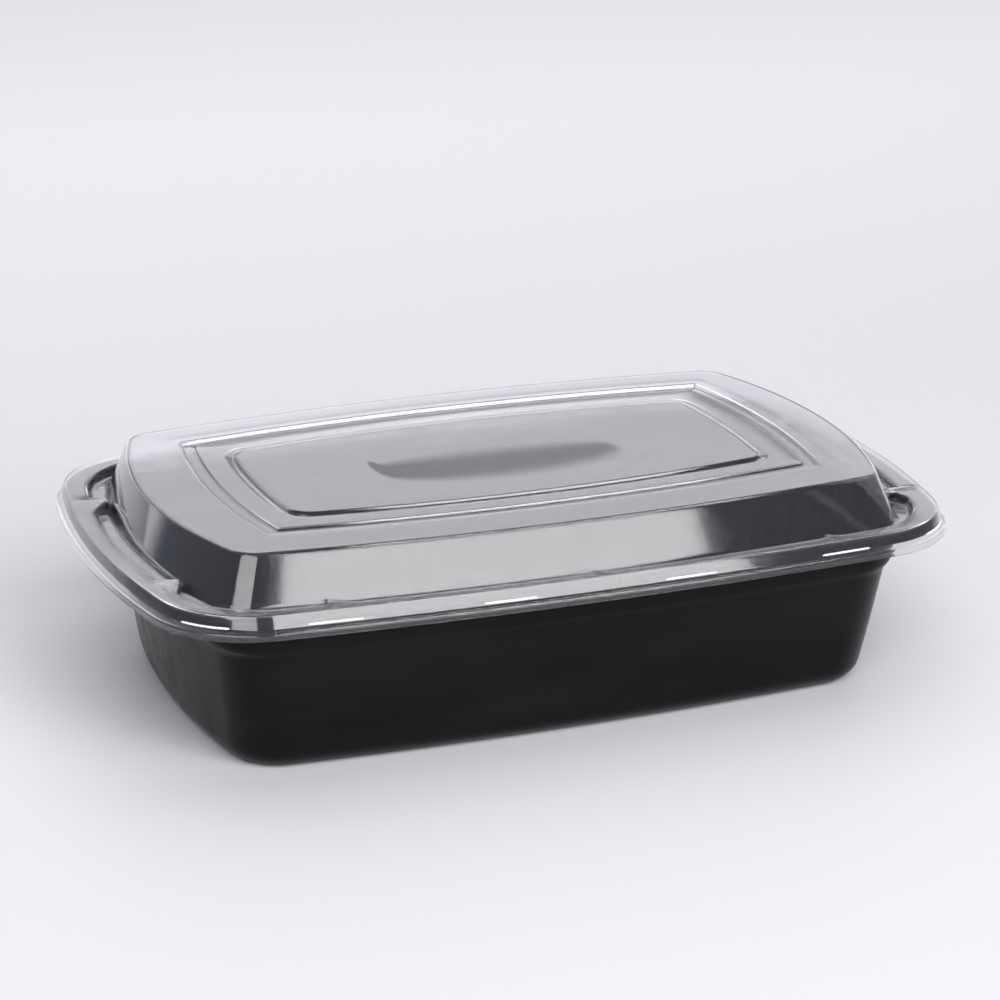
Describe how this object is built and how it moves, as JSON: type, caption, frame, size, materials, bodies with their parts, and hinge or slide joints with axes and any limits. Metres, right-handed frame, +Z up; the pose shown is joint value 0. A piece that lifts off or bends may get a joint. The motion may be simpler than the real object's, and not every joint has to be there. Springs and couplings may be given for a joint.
{
  "type": "takeaway meal container",
  "caption": "Shut rectangular takeaway container: a black tapered plastic tub with a clear domed lid snapped over its rim. It is empty.",
  "frame": {"origin": "centre of the tub's flat bottom, on the surface it stands on", "axes": "+X along the container's length, +Y across its width, +Z up through the lid"},
  "size_m": [0.223, 0.1432, 0.0584],
  "materials": {
    "tub": "black polypropylene, smooth with a soft sheen",
    "lid": "clear, slightly milky polypropylene, glossy"
  },
  "bodies": {
    "root": {"tub": "tub", "lid": "lid"}
  },
  "joints": []
}
